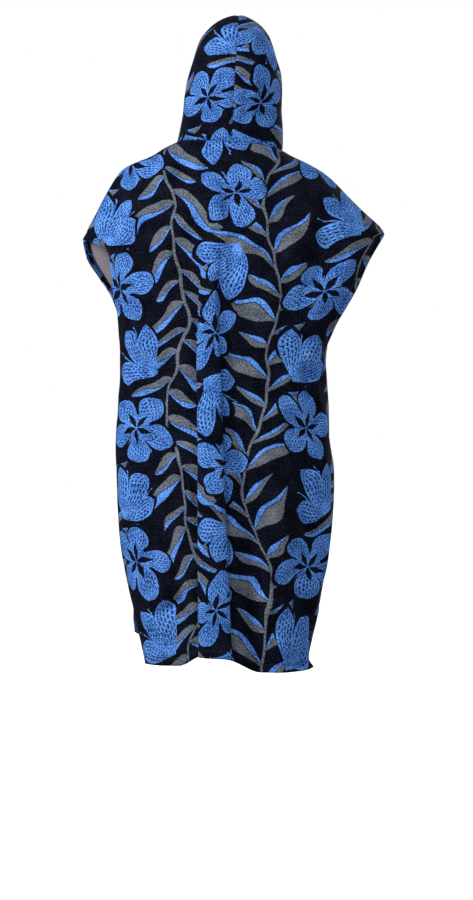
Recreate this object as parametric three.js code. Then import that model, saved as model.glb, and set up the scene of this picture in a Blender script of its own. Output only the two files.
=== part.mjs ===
import * as THREE from "three";

// A hooded bath poncho of terry cloth, in the hollow hanging form that it has when it is worn.
// Millimetres, +Z up, the front towards -Y, the wearer's left towards +X.
// The origin is the middle of the neck at shoulder level.

// Cloth
const WALL = 2.5;
const TURNED_WALL = 5; // a turned hem is two layers thick
const TURNED_HEM = 20;
const SEAM_GAP = 0.3;

// Heights of the body
const HEM = -1036;
const VENT_TOP = -925;
const VENT_OPEN = 22;
const CUFF_OPEN = 52;

// The neckline is cut lower in front, and stands a little higher on the left.
const NECK_DIP = 70;
const NECK_DIP_FADE = 170;
const NECK_RISE = 5;
const NECK_TILT = 9;
const NECK_TILT_WIDTH = 110;
const NECK_TILT_FADE = 30;

// Level sections of the body from the neckline down: how far each reaches to the left, right,
// back and front of the origin, and the power that squares off its corners.
const SECTIONS = [
  { z: 0, left: 117, right: 96, back: 76, front: 92, power: 2.2 },
  { z: -14, left: 158, right: 118, back: 80, front: 96, power: 1.85 },
  { z: -28, left: 206, right: 146, back: 85, front: 101, power: 1.7 },
  { z: -42, left: 229, right: 172, back: 90, front: 106, power: 1.68 },
  { z: -58, left: 241, right: 193, back: 95, front: 111, power: 1.7 },
  { z: -88, left: 258, right: 222, back: 103, front: 120, power: 1.8 },
  { z: -120, left: 274, right: 252, back: 110, front: 127, power: 1.92 },
  { z: -170, left: 301, right: 300, back: 117, front: 135, power: 2.05 },
  { z: -180, left: 306, right: 295, back: 118, front: 136, power: 2.08 },
  { z: -240, left: 290, right: 259, back: 120, front: 143, power: 2.15 },
  { z: -300, left: 244, right: 224, back: 119, front: 145, power: 2.2 },
  { z: -392, left: 231, right: 185, back: 113, front: 138, power: 2.3 },
  { z: -450, left: 230, right: 181, back: 110, front: 132, power: 2.35 },
  { z: -510, left: 233, right: 187, back: 112, front: 128, power: 2.35 },
  { z: -570, left: 238, right: 189, back: 118, front: 127, power: 2.35 },
  { z: -640, left: 237, right: 198, back: 122, front: 126, power: 2.35 },
  { z: -740, left: 234, right: 195, back: 119, front: 122, power: 2.3 },
  { z: -830, left: 222, right: 183, back: 114, front: 118, power: 2.3 },
  { z: -925, left: 203, right: 168, back: 109, front: 114, power: 2.25 },
  { z: HEM, left: 180, right: 158, back: 102, front: 110, power: 2.2 },
];

// The open edges of the two panels at the cuffs: how far out each lies.
const CUFFS = {
  left: {
    tip: -180,
    underarm: -392,
    edge: [
      { z: -180, back: 306, front: 306 },
      { z: -192, back: 278, front: 305 },
      { z: -202, back: 260, front: 303 },
      { z: -214, back: 251, front: 300 },
      { z: -254, back: 246, front: 275 },
      { z: -292, back: 242, front: 251 },
      { z: -330, back: 234, front: 238 },
      { z: -392, back: 231, front: 231 },
    ],
  },
  right: {
    tip: -170,
    underarm: -392,
    edge: [
      { z: -170, back: 300, front: 300 },
      { z: -230, back: 265, front: 260 },
      { z: -284, back: 241, front: 234 },
      { z: -316, back: 223, front: 217 },
      { z: -350, back: 203, front: 200 },
      { z: -392, back: 185, front: 185 },
    ],
  },
};

// The same below the side seams, where the vents part the panels.
const VENTS = {
  left: [
    { z: -925, back: 203, front: 203 },
    { z: -985, back: 190, front: 205 },
    { z: HEM, back: 180, front: 203 },
  ],
  right: [
    { z: -925, back: 168, front: 168 },
    { z: -985, back: 154, front: 160 },
    { z: -1018, back: 148, front: 157 },
    { z: HEM, back: 158, front: 155 },
  ],
};

// How far the hem is drawn up, by the distance round the panel from its middle, left first.
const HEM_LIFT = {
  back: [
    { middle: 240, lift: 11 },
    { middle: 120, lift: 11 },
    { middle: 58, lift: 34 },
    { middle: 10, lift: 25 },
    { middle: -50, lift: 1 },
    { middle: -130, lift: 1 },
    { middle: -220, lift: 9 },
  ],
  front: [
    { middle: 240, lift: 72 },
    { middle: 200, lift: 60 },
    { middle: 60, lift: 42 },
    { middle: -60, lift: 40 },
    { middle: -220, lift: 56 },
  ],
};
const HEM_LIFT_FADE = 260;

// The folds: at each height their middle, as the distance round the panel from x = 0 with left
// positive, their half width and how far they stand out. A bulging fold overhangs its own foot.
const FOLDS = [
  {
    panel: "back",
    bulge: 1.3,
    rows: [
      { z: -190, middle: 36, half: 22, height: 0 },
      { z: -290, middle: 52, half: 19, height: 13 },
      { z: -450, middle: 50, half: 20, height: 21 },
      { z: -620, middle: 46, half: 21, height: 28 },
      { z: -800, middle: 42, half: 24, height: 34 },
      { z: HEM, middle: 36, half: 27, height: 40 },
    ],
  },
  {
    panel: "back",
    bulge: 0,
    rows: [
      { z: -380, middle: 150, half: 46, height: 0 },
      { z: -520, middle: 142, half: 46, height: -7 },
      { z: -800, middle: 128, half: 44, height: -9 },
      { z: HEM, middle: 118, half: 42, height: -12 },
    ],
  },
  {
    panel: "back",
    bulge: 0,
    rows: [
      { z: -400, middle: -60, half: 52, height: 0 },
      { z: -620, middle: -78, half: 52, height: 6 },
      { z: HEM, middle: -92, half: 50, height: 15 },
    ],
  },
  {
    panel: "back",
    bulge: 0,
    rows: [
      { z: -640, middle: -6, half: 34, height: 0 },
      { z: -860, middle: -14, half: 34, height: -7 },
      { z: HEM, middle: -22, half: 34, height: -10 },
    ],
  },
  {
    panel: "front",
    bulge: 1.1,
    rows: [
      { z: -300, middle: -30, half: 26, height: 0 },
      { z: -460, middle: -40, half: 24, height: 14 },
      { z: -700, middle: -48, half: 26, height: 26 },
      { z: HEM, middle: -54, half: 29, height: 38 },
    ],
  },
  {
    panel: "front",
    bulge: 0.6,
    rows: [
      { z: -320, middle: 74, half: 40, height: 0 },
      { z: -600, middle: 82, half: 38, height: 16 },
      { z: HEM, middle: 92, half: 38, height: 26 },
    ],
  },
  {
    panel: "front",
    bulge: 0,
    rows: [
      { z: -420, middle: 12, half: 44, height: 0 },
      { z: -760, middle: 14, half: 42, height: -8 },
      { z: HEM, middle: 16, half: 40, height: -14 },
    ],
  },
];

// Level sections of the hood above the neckline, which is its lowest one.
const HOOD_SECTIONS = [
  { z: 266, left: 0, right: 0, back: 0, front: 0 },
  { z: 255, left: 34, right: 33, back: 45, front: 53 },
  { z: 240, left: 52, right: 53, back: 67, front: 79 },
  { z: 216, left: 70, right: 70, back: 86, front: 100 },
  { z: 186, left: 82, right: 82, back: 99, front: 113 },
  { z: 148, left: 92, right: 92, back: 106, front: 119 },
  { z: 100, left: 101, right: 94, back: 104, front: 118 },
  { z: 50, left: 108, right: 95, back: 93, front: 109 },
  { z: 20, left: 113, right: 95, back: 81, front: 98 },
  { z: 0, left: 117, right: 96, back: 76, front: 92 },
];
const HOOD_POWER = 2.2;
const BROW = 212;
const FACE_BOW = 9;

// How finely each piece is drawn
const BODY_LEVELS = [
  0, -14, -28, -44, -64, -90, -122, -150, -170, -181, -191, -202, -216, -244, -276, -310, -348,
  -378, -392, -440, -500, -560, -620, -680, -740, -800, -860, -925, -962, -996, HEM + TURNED_HEM, HEM,
];
const BACK_COLUMNS = 34;
const FRONT_COLUMNS = 28;
const FOLD_WEIGHT = 1.6; // columns lie closer together in the bulging folds
const HOOD_RIBS = 13;
const RIB_STEPS = 11;
const FINE = 240; // steps along a curve before it is divided evenly

const OUTWARD = { back: 1, front: -1 };
const TOWARDS = { left: 1, right: -1 };

// One column of a table at height z, as a smooth curve through its rows with no overshoot. The
// rows go down by z, or by the column that key names.
function at(table, column, z, key = "z") {
  const last = table.length - 1;
  const value = (row) => table[row][column];
  const span = (row) => table[row][key] - table[row + 1][key];
  const slope = (row) => (value(row + 1) - value(row)) / span(row);
  const tangent = (row) => {
    if (row === 0) return slope(0);
    if (row === last) return slope(last - 1);
    const before = slope(row - 1);
    const after = slope(row);
    return before * after > 0 ? (2 * before * after) / (before + after) : 0;
  };
  if (z >= table[0][key]) return value(0);
  if (z <= table[last][key]) return value(last);
  let row = 0;
  while (z < table[row + 1][key]) row += 1;
  const t = (table[row][key] - z) / span(row);
  const rest = 1 - t;
  return (
    value(row) * rest * rest * (1 + 2 * t) +
    value(row + 1) * t * t * (3 - 2 * t) +
    tangent(row) * span(row) * t * rest * rest -
    tangent(row + 1) * span(row) * t * t * rest
  );
}

// The lengths along a line of points, from its first point.
function lengths(points) {
  const along = [0];
  for (let i = 1; i < points.length; i += 1) {
    along.push(along[i - 1] + points[i].distanceTo(points[i - 1]));
  }
  return along;
}

// The points of a line at the given measures, where each point has a measure of its own.
function pointsAt(points, measures, wanted) {
  let i = 0;
  return wanted.map((measure) => {
    while (i < points.length - 2 && measures[i + 1] < measure) i += 1;
    const share = (measure - measures[i]) / (measures[i + 1] - measures[i]);
    return points[i].clone().lerp(points[i + 1], THREE.MathUtils.clamp(share, 0, 1));
  });
}

// Where a panel ends at height z: on the shoulder seam, the cuff, the side seam or the vent.
function panelEnd(panel, hand, z) {
  const cuff = CUFFS[hand];
  if (z < cuff.tip && z > cuff.underarm) {
    const half = (cuff.tip - cuff.underarm) / 2;
    const across = (z - cuff.underarm) / half - 1;
    return { x: at(cuff.edge, panel, z), y: CUFF_OPEN * Math.sqrt(1 - across * across) };
  }
  if (z < VENT_TOP) {
    const open = (VENT_TOP - z) / (VENT_TOP - HEM);
    return { x: at(VENTS[hand], panel, z), y: VENT_OPEN * open };
  }
  return { x: at(SECTIONS, hand, z), y: 0 };
}

// True where the panel's end at height z is an open edge with a turned hem.
function isOpen(hand, z) {
  const cuff = CUFFS[hand];
  return (z < cuff.tip && z > cuff.underarm) || z < VENT_TOP;
}

// A quarter of a section, from the panel's end on one hand to its middle, with no folds.
function plainQuarter(panel, hand, z) {
  const power = at(SECTIONS, "power", z);
  const depth = at(SECTIONS, panel, z);
  const end = panelEnd(panel, hand, z);
  const first = Math.asin((end.y / depth) ** (power / 2));
  const width = end.x / Math.cos(first) ** (2 / power);
  const points = [];
  for (let i = 0; i <= FINE; i += 1) {
    const angle = first + ((Math.PI / 2 - first) * i) / FINE;
    const x = TOWARDS[hand] * width * Math.max(0, Math.cos(angle)) ** (2 / power);
    const y = OUTWARD[panel] * depth * Math.sin(angle) ** (2 / power);
    points.push(new THREE.Vector3(x, y, z));
  }
  return points;
}

// How far a point near the neckline is moved up. forward is 1 at the very front of its section,
// and 0 at the shoulders and behind them.
function neckLift(x, forward, z) {
  const tilt = NECK_RISE + (NECK_TILT * x) / NECK_TILT_WIDTH;
  const left = (fade) => Math.max(0, 1 - Math.abs(z) / fade) ** 2;
  return tilt * left(NECK_TILT_FADE) - NECK_DIP * forward ** 2 * left(NECK_DIP_FADE);
}

function hemLift(panel, middle, z) {
  const near = Math.max(0, 1 - (z - HEM) / HEM_LIFT_FADE);
  return at(HEM_LIFT[panel], "lift", middle, "middle") * near ** 2;
}

// One level section of a panel with its folds, from the left end to the right end, and a measure
// for each point that grows faster in the bulging folds.
function section(panel, z) {
  const leftHalf = plainQuarter(panel, "left", z);
  const rightHalf = plainQuarter(panel, "right", z).reverse();
  const plain = leftHalf.concat(rightHalf.slice(1));
  const along = lengths(plain);
  const toMiddle = along[FINE];
  const depth = at(SECTIONS, panel, z);
  const folds = FOLDS.filter((fold) => fold.panel === panel && z < fold.rows[0].z);
  const points = [];
  const weights = [];
  plain.forEach((point, i) => {
    const before = plain[Math.max(0, i - 1)];
    const after = plain[Math.min(plain.length - 1, i + 1)];
    const leftward = before.clone().sub(after).normalize();
    const outward = new THREE.Vector3(leftward.y, -leftward.x, 0).multiplyScalar(-OUTWARD[panel]);
    const middle = toMiddle - along[i];
    const moved = point.clone();
    let weight = 1;
    for (const fold of folds) {
      const reach = at(fold.rows, "half", z);
      const t = (middle - at(fold.rows, "middle", z)) / reach;
      if (Math.abs(t) < 1) {
        const height = at(fold.rows, "height", z);
        const bump = (1 + Math.cos(Math.PI * t)) / 2;
        const grown = Math.min(1, Math.abs(height) / reach);
        moved.addScaledVector(outward, height * bump);
        moved.addScaledVector(leftward, fold.bulge * grown * reach * Math.sin(Math.PI * t) * bump);
        if (fold.bulge > 0) weight = FOLD_WEIGHT;
      }
    }
    const forward = Math.max(0, -point.y / depth);
    moved.z += neckLift(point.x, forward, z) + hemLift(panel, middle, z);
    points.push(moved);
    weights.push(weight);
  });
  const real = lengths(points);
  const measures = [0];
  for (let i = 1; i < points.length; i += 1) {
    measures.push(measures[i - 1] + (real[i] - real[i - 1]) * weights[i]);
  }
  return pointsAt(points, measures, columnMeasures(panel, measures[measures.length - 1]));
}

// The first and last columns are a turned hem's width from the ends, the others are even.
function columnMeasures(panel, total) {
  const inner = (panel === "back" ? BACK_COLUMNS : FRONT_COLUMNS) - 2;
  const wanted = [0];
  for (let i = 0; i <= inner; i += 1) {
    wanted.push(TURNED_HEM + ((total - 2 * TURNED_HEM) * i) / inner);
  }
  wanted.push(total);
  return wanted;
}

// The normal at each point of a grid of points, from its neighbours.
function gridNormals(grid, outwardAt) {
  return grid.map((row, r) =>
    row.map((point, c) => {
      const up = grid[Math.max(0, r - 1)][c];
      const down = grid[Math.min(grid.length - 1, r + 1)][c];
      const before = row[Math.max(0, c - 1)];
      const after = row[Math.min(row.length - 1, c + 1)];
      const normal = down.clone().sub(up).cross(after.clone().sub(before)).normalize();
      return normal.multiplyScalar(outwardAt);
    }),
  );
}

// A closed wall between an outer and an inner grid of points, with a rim round its four edges.
function wallGeometry(outer, inner) {
  const rows = outer.length;
  const columns = outer[0].length;
  const positions = [];
  for (const grid of [outer, inner]) {
    for (const point of grid.flat()) positions.push(point.x, point.y, point.z);
  }
  const inside = rows * columns;
  const index = [];
  const face = (a, b, c, d) => index.push(a, b, c, a, c, d);
  for (let r = 0; r < rows - 1; r += 1) {
    for (let c = 0; c < columns - 1; c += 1) {
      const at00 = r * columns + c;
      const at10 = at00 + columns;
      face(at00, at10, at10 + 1, at00 + 1);
      face(inside + at00, inside + at00 + 1, inside + at10 + 1, inside + at10);
    }
  }
  const rim = [];
  for (let c = 0; c < columns - 1; c += 1) rim.push(c);
  for (let r = 0; r < rows - 1; r += 1) rim.push(r * columns + columns - 1);
  for (let c = columns - 1; c > 0; c -= 1) rim.push((rows - 1) * columns + c);
  for (let r = rows - 1; r > 0; r -= 1) rim.push(r * columns);
  rim.forEach((from, i) => {
    const to = rim[(i + 1) % rim.length];
    face(from, to, inside + to, inside + from);
  });
  const geometry = new THREE.BufferGeometry();
  geometry.setAttribute("position", new THREE.Float32BufferAttribute(positions, 3));
  geometry.setIndex(index);
  if (signedVolume(geometry) < 0) geometry.setIndex(index.reverse());
  geometry.computeVertexNormals();
  return geometry;
}

function signedVolume(geometry) {
  const corner = [new THREE.Vector3(), new THREE.Vector3(), new THREE.Vector3()];
  const index = geometry.getIndex();
  let volume = 0;
  for (let i = 0; i < index.count; i += 3) {
    corner.forEach((point, k) => {
      point.fromBufferAttribute(geometry.getAttribute("position"), index.getX(i + k));
    });
    volume += corner[0].dot(corner[1].cross(corner[2])) / 6;
  }
  return volume;
}

function cloth(name, geometry, color) {
  const material = new THREE.MeshStandardMaterial({ color, roughness: 0.95, metalness: 0 });
  const mesh = new THREE.Mesh(geometry, material);
  mesh.name = name;
  return mesh;
}

// Front or back panel, with its halves of the two sleeves.
function bodyPanel(panel) {
  const outer = BODY_LEVELS.map((z) => section(panel, z));
  const normals = gridNormals(outer, OUTWARD[panel]);
  const lastColumn = outer[0].length - 1;
  const lastRow = outer.length - 1;
  const inner = outer.map((row, r) =>
    row.map((point, c) => {
      const z = BODY_LEVELS[r];
      const hand = c * 2 < lastColumn ? "left" : "right";
      const atEnd = c === 0 || c === lastColumn;
      const nearEnd = c <= 1 || c >= lastColumn - 1;
      const turned = (nearEnd && isOpen(hand, z)) || r >= lastRow - 1;
      const normal = normals[r][c];
      if (atEnd && !isOpen(hand, z)) normal.setY(0).normalize();
      return point.clone().addScaledVector(normal, -(turned ? TURNED_WALL : WALL));
    }),
  );
  for (const grid of [outer, inner]) {
    for (const point of grid.flat()) {
      const apart = (OUTWARD[panel] * SEAM_GAP) / 2;
      point.y = panel === "back" ? Math.max(point.y, apart) : Math.min(point.y, apart);
    }
    for (const point of grid[0]) point.z -= SEAM_GAP / 2;
  }
  return wallGeometry(outer, inner);
}

// Hood size at height z. Its squares are interpolated, which rounds the crown off.
function hoodReach(column, z) {
  const squares = HOOD_SECTIONS.map((row) => ({ z: row.z, square: row[column] ** 2 }));
  return Math.sqrt(Math.max(0, at(squares, "square", z)));
}

// How far the hood lies to the side of its middle plane at a depth y and height z.
function hoodHalfWidth(hand, y, z) {
  const depth = Math.max(1, hoodReach(y > 0 ? "back" : "front", z));
  const share = Math.min(1, Math.abs(y) / depth);
  return hoodReach(hand, z) * (1 - share ** HOOD_POWER) ** (1 / HOOD_POWER);
}

// The middle seam of the hood, from the brow over the crown to the back of the neck.
function hoodProfile() {
  const crown = HOOD_SECTIONS[0].z;
  const points = [];
  for (let i = 0; i <= FINE; i += 1) {
    const z = crown - (crown - BROW) * (1 - i / FINE) ** 2;
    points.push(new THREE.Vector3(0, -hoodReach("front", z), z));
  }
  for (let i = 1; i <= FINE; i += 1) {
    const z = crown * (1 - (i / FINE) ** 2);
    points.push(new THREE.Vector3(0, hoodReach("back", z), z));
  }
  return points;
}

function evenly(points, steps) {
  const along = lengths(points);
  const total = along[along.length - 1];
  const wanted = [];
  for (let i = 0; i <= steps; i += 1) wanted.push((total * i) / steps);
  return pointsAt(points, along, wanted);
}

// One rib of the hood, from the middle seam down to the neckline. Rib 0 is the face edge, and the
// last one is the back half of the neckline.
function hoodRib(hand, top, foot, bow) {
  const points = [];
  for (let i = 0; i <= FINE; i += 1) {
    const share = (1 - Math.cos((Math.PI * i) / FINE)) / 2;
    const y = THREE.MathUtils.lerp(top.y, foot, share) + bow * Math.sin(Math.PI * share);
    const z = top.z * (1 - share);
    const side = i === 0 ? 0 : hoodHalfWidth(hand, y, z);
    points.push(new THREE.Vector3(TOWARDS[hand] * side, y, z));
  }
  return evenly(points, RIB_STEPS);
}

function hoodHalf(hand) {
  const tops = evenly(hoodProfile(), HOOD_RIBS);
  const front = SECTIONS[0].front;
  const outer = tops.map((top, i) => {
    const turn = ((Math.PI / 2) * i) / HOOD_RIBS;
    const foot = -front * Math.cos(turn) ** (2 / HOOD_POWER);
    return hoodRib(hand, top, i === HOOD_RIBS ? 0 : foot, FACE_BOW * Math.cos(turn) ** 2);
  });
  const normals = gridNormals(outer, TOWARDS[hand]);
  const inner = outer.map((rib, r) =>
    rib.map((point, c) => {
      const normal = normals[r][c];
      if (c === 0) normal.setX(0).normalize();
      return point.clone().addScaledVector(normal, -(r <= 1 ? TURNED_WALL : WALL));
    }),
  );
  const places = outer.map((rib) => rib.map((point) => point.clone()));
  for (const grid of [outer, inner]) {
    grid.forEach((rib, r) => {
      rib.forEach((point, c) => {
        const side = Math.max(TOWARDS[hand] * point.x, SEAM_GAP / 2);
        point.x = TOWARDS[hand] * side;
        const { x, y, z } = places[r][c];
        point.z += neckLift(x, Math.max(0, -y / Math.max(1, hoodReach("front", z))), z);
        if (r === HOOD_RIBS || c === RIB_STEPS) point.z += SEAM_GAP / 2;
      });
    });
  }
  return wallGeometry(outer, inner);
}

const poncho = new THREE.Group();
poncho.add(cloth("back_panel", bodyPanel("back"), 0x1d2b52));
poncho.add(cloth("front_panel", bodyPanel("front"), 0x24335c));
poncho.add(cloth("hood_left", hoodHalf("left"), 0x2b3d6e));
poncho.add(cloth("hood_right", hoodHalf("right"), 0x33467a));

export default poncho;
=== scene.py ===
import math

import bpy
import numpy as np
from mathutils.kdtree import KDTree
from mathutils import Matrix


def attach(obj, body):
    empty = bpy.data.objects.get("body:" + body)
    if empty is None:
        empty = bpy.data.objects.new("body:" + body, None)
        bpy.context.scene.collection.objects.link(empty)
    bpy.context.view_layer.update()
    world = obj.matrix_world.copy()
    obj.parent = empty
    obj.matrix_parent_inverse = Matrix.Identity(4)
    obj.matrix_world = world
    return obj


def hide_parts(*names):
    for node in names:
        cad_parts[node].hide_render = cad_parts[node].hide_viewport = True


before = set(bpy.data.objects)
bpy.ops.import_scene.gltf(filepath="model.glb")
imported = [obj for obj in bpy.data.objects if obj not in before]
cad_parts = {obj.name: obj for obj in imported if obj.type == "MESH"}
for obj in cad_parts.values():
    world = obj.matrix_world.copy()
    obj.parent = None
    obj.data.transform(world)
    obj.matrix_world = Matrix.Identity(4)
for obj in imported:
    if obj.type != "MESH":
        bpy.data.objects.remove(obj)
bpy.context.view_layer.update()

# Sizes are in millimetres up to the meshes, which are in metres. The front is towards -Y, and the
# wearer's left towards +X. The sections and folds are those of the solids.
MM = 0.001
WALL = 2.5
TURNED_WALL = 5.0
TURNED_HEM = 19.0
SEAM_LAP = 0.2
SEAM_ALLOWANCE = 6.0
FLOOR = -1470.0

HEM = -1036
VENT_TOP = -925
# Half of how far the panels stand apart at the hem's vents and at the cuffs
VENT_OPEN = 22
CUFF_OPEN = 52
# The neckline dips at the front, and leans up towards the wearer's left
NECK_DIP = 70
NECK_DIP_FADE = 170
NECK_RISE = 5
NECK_TILT = 9
NECK_TILT_WIDTH = 110
NECK_TILT_FADE = 30


def table(columns, rows):
    """Rows of a table as dictionaries, under one line of column names."""
    names = columns.split()
    return [dict(zip(names, row)) for row in rows]


# The level sections of the body: how far each side reaches, and how square its corners are
SECTIONS = table("z left right back front power", [
    (0, 117, 96, 76, 92, 2.2),
    (-14, 158, 118, 80, 96, 1.85),
    (-28, 206, 146, 85, 101, 1.7),
    (-42, 229, 172, 90, 106, 1.68),
    (-58, 241, 193, 95, 111, 1.7),
    (-88, 258, 222, 103, 120, 1.8),
    (-120, 274, 252, 110, 127, 1.92),
    (-170, 301, 300, 117, 135, 2.05),
    (-180, 306, 295, 118, 136, 2.08),
    (-240, 290, 259, 120, 143, 2.15),
    (-300, 244, 224, 119, 145, 2.2),
    (-392, 231, 185, 113, 138, 2.3),
    (-450, 230, 181, 110, 132, 2.35),
    (-510, 233, 187, 112, 128, 2.35),
    (-570, 238, 189, 118, 127, 2.35),
    (-640, 237, 198, 122, 126, 2.35),
    (-740, 234, 195, 119, 122, 2.3),
    (-830, 222, 183, 114, 118, 2.3),
    (-925, 203, 168, 109, 114, 2.25),
    (HEM, 180, 158, 102, 110, 2.2),
])
# Where the panels end along each cuff, from the tip of the sleeve down to the underarm
CUFFS = {
    "left": dict(
        tip=-180,
        underarm=-392,
        edge=table("z back front", [
            (-180, 306, 306),
            (-192, 278, 305),
            (-202, 260, 303),
            (-214, 251, 300),
            (-254, 246, 275),
            (-292, 242, 251),
            (-330, 234, 238),
            (-392, 231, 231),
        ]),
    ),
    "right": dict(
        tip=-170,
        underarm=-392,
        edge=table("z back front", [
            (-170, 300, 300),
            (-230, 265, 260),
            (-284, 241, 234),
            (-316, 223, 217),
            (-350, 203, 200),
            (-392, 185, 185),
        ]),
    ),
}
# Where the panels end along each side vent
VENTS = {
    "left": table("z back front", [
        (-925, 203, 203),
        (-985, 190, 205),
        (HEM, 180, 203),
    ]),
    "right": table("z back front", [
        (-925, 168, 168),
        (-985, 154, 160),
        (-1018, 148, 157),
        (HEM, 158, 155),
    ]),
}
# How far the hem is drawn up, by the distance round from the middle
HEM_LIFT = {
    "back": table("middle lift", [
        (240, 11),
        (120, 11),
        (58, 34),
        (10, 25),
        (-50, 1),
        (-130, 1),
        (-220, 9),
    ]),
    "front": table("middle lift", [
        (240, 72),
        (200, 60),
        (60, 42),
        (-60, 40),
        (-220, 56),
    ]),
}
HEM_LIFT_FADE = 260


def fold(panel, bulge, rows):
    """A fold of a panel: the place, half width and height of its crest at a few levels. One that
    bulges stands out wider than its foot."""
    return dict(panel=panel, bulge=bulge, rows=table("z middle half height", rows))


# The folds that the solids have too
FOLDS = [
    fold("back", 1.3, [
        (-190, 36, 22, 0),
        (-290, 52, 19, 13),
        (-450, 50, 20, 21),
        (-620, 46, 21, 28),
        (-800, 42, 24, 34),
        (HEM, 36, 27, 40),
    ]),
    fold("back", 0, [
        (-380, 150, 46, 0),
        (-520, 142, 46, -7),
        (-800, 128, 44, -9),
        (HEM, 118, 42, -12),
    ]),
    fold("back", 0, [
        (-400, -60, 52, 0),
        (-620, -78, 52, 6),
        (HEM, -92, 50, 15),
    ]),
    fold("back", 0, [
        (-640, -6, 34, 0),
        (-860, -14, 34, -7),
        (HEM, -22, 34, -10),
    ]),
    fold("front", 1.1, [
        (-300, -30, 26, 0),
        (-460, -40, 24, 14),
        (-700, -48, 26, 26),
        (HEM, -54, 29, 38),
    ]),
    fold("front", 0.6, [
        (-320, 74, 40, 0),
        (-600, 82, 38, 16),
        (HEM, 92, 38, 26),
    ]),
    fold("front", 0, [
        (-420, 12, 44, 0),
        (-760, 14, 42, -8),
        (HEM, 16, 40, -14),
    ]),
]
# The fold whose crest is the middle warp line of each panel's print
PRINT_FOLD = {"back": FOLDS[0], "front": FOLDS[4]}

# The level sections of the hood, from the crown down to the neckline
HOOD_SECTIONS = table("z left right back front", [
    (266, 0, 0, 0, 0),
    (255, 34, 33, 45, 53),
    (240, 52, 53, 67, 79),
    (216, 70, 70, 86, 100),
    (186, 82, 82, 99, 113),
    (148, 92, 92, 106, 119),
    (100, 101, 94, 104, 118),
    (50, 108, 95, 93, 109),
    (20, 113, 95, 81, 98),
    (0, 117, 96, 76, 92),
])
HOOD_POWER = 2.2
BROW = 212
FACE_BOW = 9
# The centre seam leans to one side at the crown and to the other at the neck
HOOD_LEAN = table("z aside", [
    (262, -11.0),
    (150, -1.5),
    (0, 7.0),
])
HOOD_LEAN_WIDTH = 88
HOOD_LEAN_FADE = 50
# Makes up for the height that the sunk seam takes off the crown
HOOD_STRETCH = 1.008

# Creases that are too fine for the solids. Each runs from one place to another, given as the
# distance round from the middle and the height, with its half width and how far it stands out.
CREASES = {
    "back": table("start end width height", [
        ((250, -396), (132, -506), 14, -14.9),
        ((214, -372), (150, -452), 11, 6.8),
        ((-132, -408), (-160, -530), 12, -13.5),
        ((-190, -360), (-96, -466), 12, 6.8),
        ((20, -312), (-74, -378), 13, -12.2),
        ((-8, -250), (-96, -336), 15, 6.1),
        ((52, -36), (48, -300), 14, 6.1),
        ((22, -60), (16, -330), 13, -6.8),
        ((130, -50), (88, -260), 20, -6.8),
        ((-60, -30), (-84, -260), 18, -6.8),
        ((-190, -130), (-120, -330), 18, -8.8),
        ((-236, -176), (-172, -330), 14, 7.4),
        ((226, -150), (150, -330), 18, -8.8),
        ((262, -230), (186, -352), 13, 6.8),
        ((-136, -590), (-120, -900), 17, -8.1),
        ((-186, -560), (-176, -940), 16, 6.8),
        ((-40, -700), (-52, -1030), 12, 7.4),
        ((196, -560), (170, -900), 18, -8.1),
        ((96, -640), (88, -1030), 12, 7.4),
        ((92, -880), (170, -934), 13, -10.8),
        ((-104, -868), (-158, -972), 16, -8.1),
        ((-16, -470), (-40, -640), 15, -6.1),
    ]),
    "front": table("start end width height", [
        ((170, -330), (96, -560), 17, -9.5),
        ((-176, -340), (-100, -560), 16, -9.5),
        ((214, -360), (150, -470), 12, 6.8),
        ((-204, -360), (-150, -470), 12, 6.1),
        ((110, -80), (150, -300), 18, -8.1),
        ((-110, -80), (-140, -300), 18, -8.1),
        ((30, -120), (54, -330), 15, -6.8),
        ((-24, -110), (-66, -320), 13, 6.1),
        ((-60, -120), (60, -112), 14, -6.8),
        ((150, -600), (140, -960), 17, -8.1),
        ((-130, -560), (-128, -980), 17, -8.1),
        ((24, -520), (30, -990), 13, 7.4),
        ((-176, -620), (-166, -960), 15, 6.8),
        ((230, -190), (170, -360), 13, 6.8),
        ((-226, -190), (-166, -360), 13, 6.8),
    ]),
}
# Small swells all over the cloth: wave lengths round and down, a turn and a height
SWELLS = table("round down turn height", [
    (118, 260, 0.4, 1.5),
    (-83, 170, 2.1, 1.1),
    (61, -140, 4.0, 0.8),
    (190, 95, 1.2, 0.7),
])

# How finely each piece is drawn
BODY_ROWS = 236
BACK_COLUMNS = 168
FRONT_COLUMNS = 150
HOOD_RIBS = 90
RIB_STEPS = 84
FINE = 500
# How much closer the points lie on a fold that bulges
FOLD_WEIGHT = 1.3
# Rounds of smoothing down the cloth and down its print, which fade near the seams and edges
SOFTENING = 56
PRINT_SOFTENING = 150
SOFTENING_FADE = 16
HOOD_CREASE_FADE = 12
# How far down the print each panel begins
BODY_PRINT = {"back": 52, "front": 0}

OUTWARD = {"back": 1.0, "front": -1.0}
TOWARDS = {"left": 1.0, "right": -1.0}
SEAM_SINK = 1.6
SEAM_WIDTH = 4.5
SEAM_RIDGE_WIDTH = 3.0
EDGE_ROLL = 1.1
EDGE_ROLL_WIDTH = 3.0
STITCH_SINK = 0.7
STITCH_SINK_WIDTH = 3.5
CREASE_BOW = 0.06
CREASE_END = 0.8
# The stitches along the turned hems, in rows at these distances from the edge
STITCH = dict(rows=(13.2, 16.6), pitch=3.8, long=2.9, wide=0.9, high=0.45)
STITCH_FOOT = 0.2
STITCH_END = 0.3
# How many grid steps in from an edge its rows are looked for, and the gap that parts two rows
PATH_REACH = 18
PATH_BREAK = 14.0


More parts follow.
